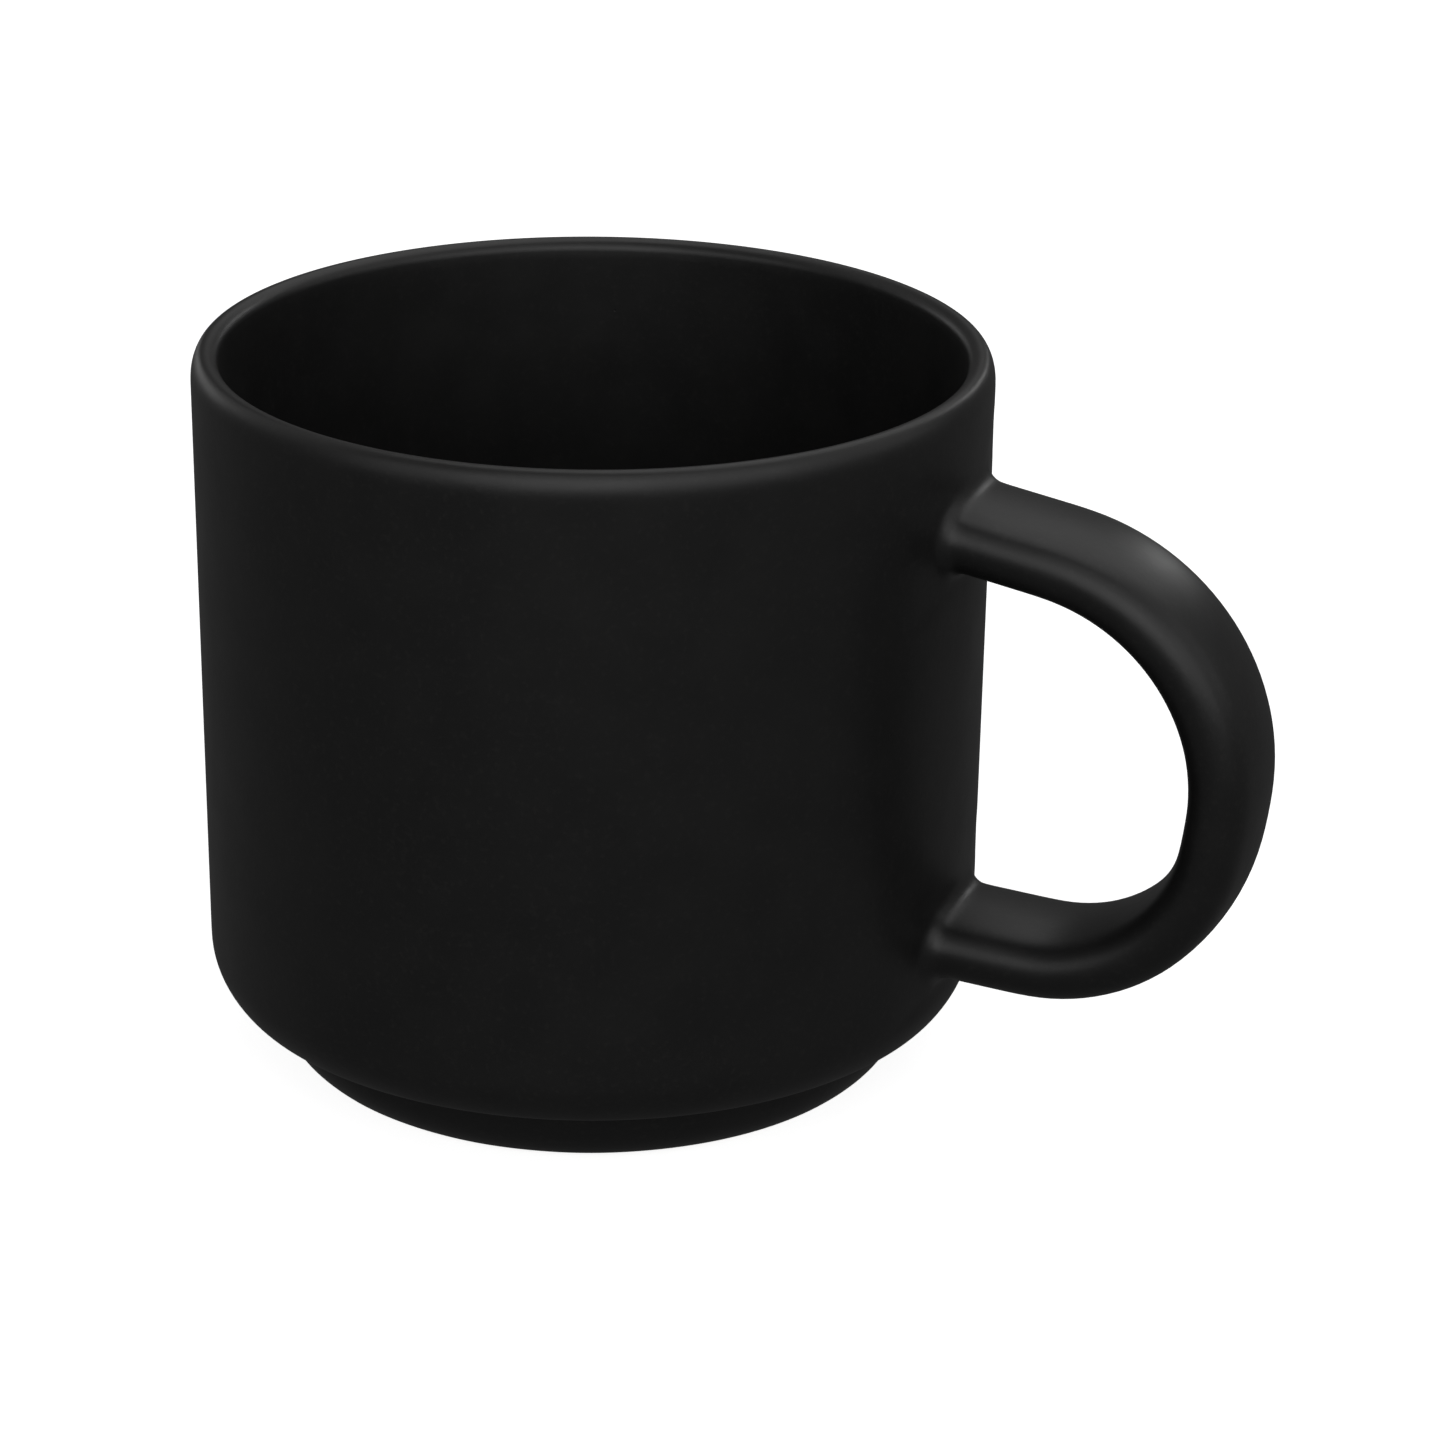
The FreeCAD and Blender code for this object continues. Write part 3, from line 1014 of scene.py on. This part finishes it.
    def lay_on_wall(self, mesh: bmesh.types.BMesh, verts: Iterable[bmesh.types.BMVert]) -> None:
        """Lay vertices that are nearly on the wall's surface exactly on it.

        Args:
            mesh: The coat's mesh.
            verts: The vertices.
        """
        for vert in verts:
            out = self.section.wall_radius(vert.co.z) / vert.co.xy.length
            bmesh.ops.scale(mesh, verts=[vert], vec=(out, out, 1))


def wander(mesh: bmesh.types.BMesh, wobble: float) -> None:
    """Let the wiped edge of the glaze wander a little, as a sponge leaves it.

    Args:
        mesh: The glaze's mesh, open at that edge.
        wobble: How far it may wander up or down.
    """
    for vert in mesh.verts:
        if vert.is_boundary:
            lift = wobble * noise.noise(vert.co * WANDER_WAVES)
            bmesh.ops.translate(mesh, verts=[vert], vec=(0, 0, lift))


def thicken(piece: bpy.types.Object, thickness: float) -> None:
    """Give a skin its thickness, on the side away from its faces' normals.

    Args:
        piece: The skin.
        thickness: How thick it becomes.
    """
    wall = piece.modifiers.new("glaze_thickness", "SOLIDIFY")
    wall.thickness = thickness
    wall.offset = -1
    wall.use_even_offset = True


def smooth(piece: bpy.types.Object) -> None:
    """Divide a piece's faces once and smooth them.

    Args:
        piece: The piece.
    """
    smoothing = piece.modifiers.new("smoothing", "SUBSURF")
    smoothing.levels = smoothing.render_levels = 1


@dataclass
class RecessGlaze:
    """The disc of glaze in the hollow under the floor, turned up inside the foot ring."""

    section: CupSection
    wobble: float = 0.12 * MM  # how far the wiped edge wanders

    def build(self) -> bpy.types.Object:
        """Build the disc.

        Returns:
            The finished piece.
        """
        section = self.section
        skin = section.glaze
        inner = section.ring_radius - skin
        ceiling = section.recess_depth - skin
        edge = section.ring_edge
        sink = math.asin((edge - section.glaze_line) / (edge + skin))
        edge_x = section.ring_radius + edge
        pen = Pen(edge_x - (edge + skin) * math.cos(sink), section.glaze_line)
        pen.arc(edge_x, edge, -math.degrees(sink), steps=2)
        pen.line_to(inner, ceiling, steps=3)
        pen.line_to(0, ceiling, steps=6)
        pen.round_at(inner, ceiling, section.recess_corner - skin, 90, steps=5)
        turn_about_axis(pen.mesh)
        wander(pen.mesh, self.wobble)
        bmesh.ops.recalc_face_normals(pen.mesh, faces=pen.mesh.faces)
        bmesh.ops.reverse_faces(pen.mesh, faces=pen.mesh.faces)
        piece = finish_piece(pen.mesh, "recess_glaze", SatinGlaze(), ["base_glaze"])
        thicken(piece, skin)
        smooth(piece)
        return piece


@dataclass
class TurnedCup:
    """The bare clay cup, of which only the wiped foot ring shows."""

    section: CupSection

    def build(self) -> bpy.types.Object:
        """Build the cup.

        Returns:
            The finished piece.
        """
        section = self.section
        ring_outer = section.foot_radius - section.foot_round
        pen = Pen(0, section.recess_depth)
        pen.line_to(section.ring_radius, section.recess_depth, steps=6)
        pen.line_to(section.ring_radius, 0, steps=2)
        pen.line_to(ring_outer, 0, steps=2)
        section.draw_outside(pen, skin=0)
        corner = section.recess_corner
        pen.round_at(section.ring_radius, section.recess_depth, corner, 90, steps=5)
        pen.round_at(section.ring_radius, 0, section.ring_edge, 90)
        turn_about_axis(pen.mesh)
        bmesh.ops.recalc_face_normals(pen.mesh, faces=pen.mesh.faces)
        piece = finish_piece(pen.mesh, "turned_cup", BareStoneware(), ["cup_body"])
        smooth(piece)
        return piece


@dataclass
class HandleClay:
    """The clay of the handle and the slip that joins it, which the glaze covers."""

    def dress(self, nodes: dict[str, bpy.types.Object]) -> None:
        """Give the hidden clay its own finishes.

        Args:
            nodes: The frame's nodes.
        """
        finishes = {
            "handle": (BareStoneware(), Slot.CLAY),
            "upper_slip_joint": (DriedSlip(), Slot.SLIP),
            "lower_slip_joint": (DriedSlip(), Slot.SLIP),
        }
        for name, (finish, slot) in finishes.items():
            node = nodes[name]
            for holder in node.material_slots:
                holder.material = finish.material()
            log.info("%s: dressed in %s", name, finish.name)


# --------------------------------------------------------------------------- the studio


@dataclass(frozen=True)
class Softbox:
    """A soft light that faces the mug."""

    name: str
    azimuth: float  # degrees from +Y towards +X
    elevation: float  # degrees above the mug's middle
    distance: float
    width: float
    height: float
    radiance: float

    def place(self, target: Vector) -> None:
        """Put the light up.

        Args:
            target: What it faces.
        """
        turn, rise = math.radians(self.azimuth), math.radians(self.elevation)
        flat = math.cos(rise)
        way = Vector((math.sin(turn) * flat, math.cos(turn) * flat, math.sin(rise)))
        light = bpy.data.lights.new(self.name, "AREA")
        light.shape = "RECTANGLE"
        light.size = self.width
        light.size_y = self.height
        light.energy = self.radiance * WATTS_PER_RADIANCE * self.width * self.height
        holder = bpy.data.objects.new(self.name, light)
        holder.location = target + way * self.distance
        holder.rotation_euler = (-way).to_track_quat("-Z", "Y").to_euler()
        bpy.context.scene.collection.objects.link(holder)


@dataclass
class Studio:
    """A pale floor, soft lights and the camera."""

    middle: Vector
    azimuth: float = 22.8
    stand_back: float = 0.4713
    eye_height: float = 0.2330
    pan: float = 1.86
    tilt: float = 22.34
    roll: float = 0.85
    lens: float = 107.15
    floor_half: float = 3.0
    dim_room: float = 0.09
    lights: tuple[Softbox, ...] = (
        Softbox("overhead", 0, 73, 1.0, 0.90, 0.60, 0.72),
        Softbox("back", 5, 42, 1.0, 0.90, 0.45, 0.50),
        Softbox("back_lamp", 14, 19, 1.0, 0.18, 0.16, 2.6),
        Softbox("front_left", 166, 26, 1.0, 0.80, 0.62, 1.05),
        Softbox("front_right", 121, 26, 1.0, 0.80, 0.62, 0.72),
        Softbox("front_high", 150, 56, 1.0, 0.90, 0.36, 0.55),
        Softbox("left_front", -150, 26, 1.0, 0.60, 0.60, 0.45),
        Softbox("left", -85, 34, 1.0, 0.80, 0.90, 0.18),
        Softbox("left_low", -62, 8, 1.0, 0.50, 0.26, 0.60),
        Softbox("right", 72, 34, 1.0, 0.80, 0.90, 0.33),
    )

    def build(self) -> None:
        """Set up the floor, the lights, the surroundings and the camera."""
        self.lay_floor()
        for light in self.lights:
            light.place(self.middle)
        self.surround()
        self.set_camera()
        bpy.context.scene.view_settings.view_transform = "Standard"

    def lay_floor(self) -> None:
        """Lay the floor under the foot ring."""
        mesh = bmesh.new()
        bmesh.ops.create_grid(mesh, x_segments=1, y_segments=1, size=self.floor_half)
        data = bpy.data.meshes.new("floor")
        mesh.to_mesh(data)
        mesh.free()
        data.materials.append(StudioFloor().material())
        floor = bpy.data.objects.new("floor", data)
        floor.visible_glossy = floor.visible_diffuse = False
        bpy.context.scene.collection.objects.link(floor)

    def surround(self) -> None:
        """Set the mug against white in a dim room, so that only the soft lights shape it."""
        world = bpy.data.worlds.new("pale_room")
        world.use_nodes = True
        tree = world.node_tree
        background = next(node for node in tree.nodes if node.type == "BACKGROUND")
        background.inputs["Color"].default_value = (1, 1, 1, 1)
        path = tree.nodes.new("ShaderNodeLightPath")
        dimmed = tree.nodes.new("ShaderNodeMapRange")
        dimmed.inputs["To Min"].default_value = self.dim_room
        dimmed.inputs["To Max"].default_value = 1.0
        tree.links.new(path.outputs["Is Camera Ray"], dimmed.inputs["Value"])
        tree.links.new(dimmed.outputs["Result"], background.inputs["Strength"])
        bpy.context.scene.world = world

    def set_camera(self) -> None:
        """Stand the camera in front of the mug, a little above it, looking down into it."""
        side = math.radians(self.azimuth)
        yaw = math.radians(self.pan - self.azimuth)
        pitch, roll = math.radians(self.tilt), math.radians(self.roll)
        flat = math.cos(pitch)
        ahead = Vector((math.sin(yaw) * flat, math.cos(yaw) * flat, -math.sin(pitch)))
        level = Vector((math.cos(yaw), -math.sin(yaw), 0))
        right = math.cos(roll) * level + math.sin(roll) * level.cross(ahead)
        turned = Matrix((right, right.cross(ahead), -ahead)).transposed().to_4x4()
        back = self.stand_back
        eye = Vector((back * math.sin(side), -back * math.cos(side), self.eye_height))
        data = bpy.data.cameras.new("camera")
        data.lens = self.lens
        data.clip_start, data.clip_end = 0.01, 20
        camera = bpy.data.objects.new("camera", data)
        camera.matrix_world = Matrix.Translation(eye) @ turned
        bpy.context.scene.collection.objects.link(camera)
        bpy.context.scene.camera = camera


def write_sizes() -> None:
    """Bring the scene's placements up to date."""
    bpy.context.view_layer.update()


def main() -> None:
    """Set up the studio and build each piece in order."""
    logging.basicConfig(level=logging.INFO, format="%(name)s: %(message)s")
    low, high = CAD_BOX
    Studio(middle=Vector((0, 0, (low.z + high.z) / 2))).build()
    section = CupSection.from_frame()
    strap = Strap.from_frame(section.glaze)
    TurnedCup(section).build()
    HandleClay().dress(frame["nodes"])
    GlazeCoat(section, strap).build()
    RecessGlaze(section).build()
    write_sizes()


if __name__ == "__main__":
    main()
